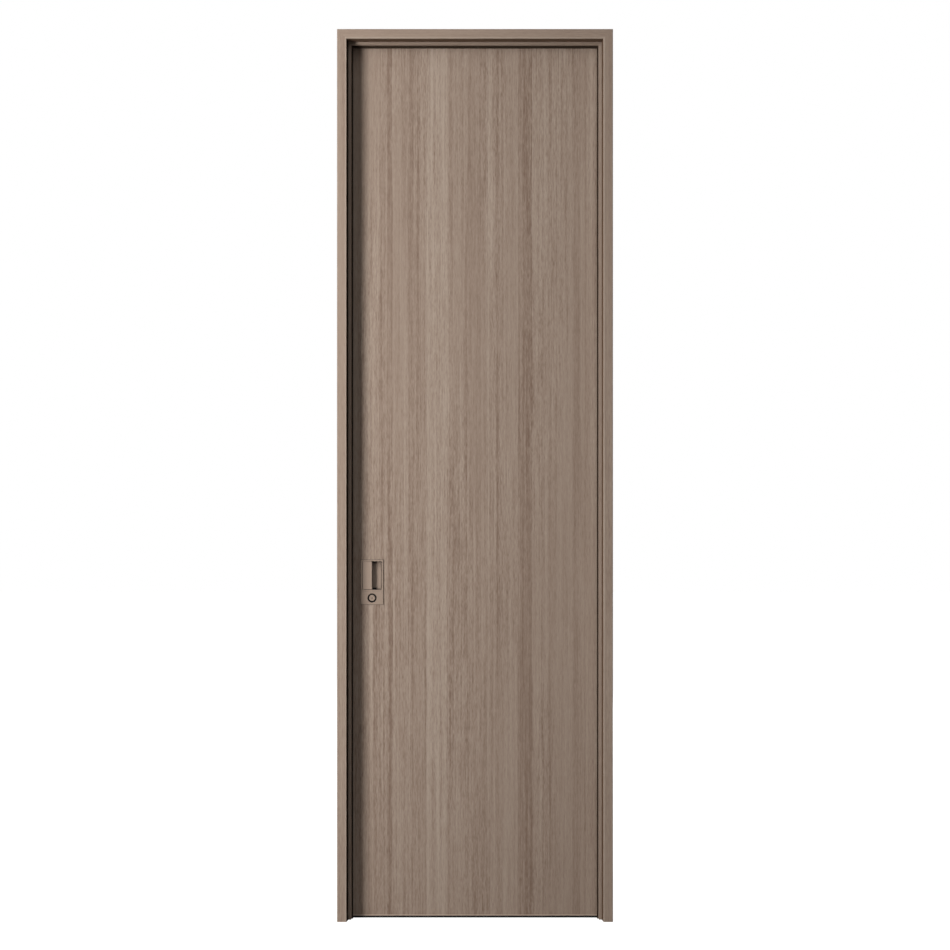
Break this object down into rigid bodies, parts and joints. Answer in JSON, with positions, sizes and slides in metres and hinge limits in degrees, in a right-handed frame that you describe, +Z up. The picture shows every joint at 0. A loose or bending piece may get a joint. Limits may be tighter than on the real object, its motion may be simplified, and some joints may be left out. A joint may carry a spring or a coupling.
{
  "type": "flush hinged door with frame",
  "caption": "Tall flush door with a straight-grained wood face, a flush pull with a finger flap and a lock turn, hung on barrel hinges in a slim stepped frame.",
  "frame": {"origin": "on the wall face of the hinge jamb, at floor level and in the middle of the jamb's depth", "axes": "+Z up, +X from the lock edge to the hinges, +Y through the wall from the push side to the side the leaf opens to"},
  "size_m": [0.9, 0.1305, 2.912],
  "materials": {
    "wood_veneer": "matt straight-grained taupe veneer",
    "frame_finish": "matt taupe wood-grain finish on aluminium",
    "edge_aluminium": "taupe anodised",
    "lock_metal": "satin taupe",
    "hinge_steel": "satin",
    "seal_rubber": "matt black"
  },
  "bodies": {
    "frame": {"back_casing_head": "frame_finish", "back_casing_hinge_side": "frame_finish", "back_casing_strike_side": "frame_finish", "front_casing_head": "frame_finish", "front_casing_hinge_side": "frame_finish", "front_casing_strike_side": "frame_finish", "hinge_1_frame_plate": "hinge_steel", "hinge_1_pin": "hinge_steel", "hinge_2_frame_plate": "hinge_steel", "hinge_2_pin": "hinge_steel", "hinge_3_frame_plate": "hinge_steel", "hinge_3_pin": "hinge_steel", "hinge_4_frame_plate": "hinge_steel", "hinge_4_pin": "hinge_steel", "jamb_head": "frame_finish", "jamb_hinge_side": "frame_finish", "jamb_strike_side": "frame_finish", "seal_head": "seal_rubber", "seal_hinge_side": "seal_rubber", "seal_strike_side": "seal_rubber", "stop_head": "frame_finish", "stop_hinge_side": "frame_finish", "stop_strike_side": "frame_finish", "strike_plate": "hinge_steel"},
    "leaf": {"back_lock_plate": "lock_metal", "back_pull_cup": "lock_metal", "back_pull_paddle": "lock_metal", "dead_bolt": "hinge_steel", "front_lock_plate": "lock_metal", "front_pull_cup": "lock_metal", "hinge_1_leaf_plate": "hinge_steel", "hinge_2_leaf_plate": "hinge_steel", "hinge_3_leaf_plate": "hinge_steel", "hinge_4_leaf_plate": "hinge_steel", "latch_bolt": "hinge_steel", "leaf_back_panel": "wood_veneer", "leaf_bottom_rail": "edge_aluminium", "leaf_bottom_sweep": "seal_rubber", "leaf_front_panel": "wood_veneer", "leaf_hinge_stile": "edge_aluminium", "leaf_lock_stile": "edge_aluminium", "leaf_top_rail": "edge_aluminium", "lock_faceplate": "hinge_steel"},
    "pull_flap": {"front_pull_paddle": "lock_metal"},
    "lock_turn": {"front_lock_turn": "lock_metal", "back_lock_turn": "lock_metal"}
  },
  "joints": [
    {"name": "leaf_swing", "type": "hinge", "parent": "frame", "child": "leaf", "pos_m": [-0.02545, 0.0655, 0], "axis": [0, 0, -1], "range_deg": [0, 180]},
    {"name": "flap_pull", "type": "hinge", "parent": "leaf", "child": "pull_flap", "pos_m": [-0.8039, 0.0076, 1.127], "axis": [0, 0, -1], "range_deg": [0, 25], "stiffness_Nm_per_rad": 0.5},
    {"name": "lock_turning", "type": "hinge", "parent": "leaf", "child": "lock_turn", "pos_m": [-0.77665, 0.033, 1.0533], "axis": [0, -1, 0], "range_deg": [0, 90]}
  ]
}
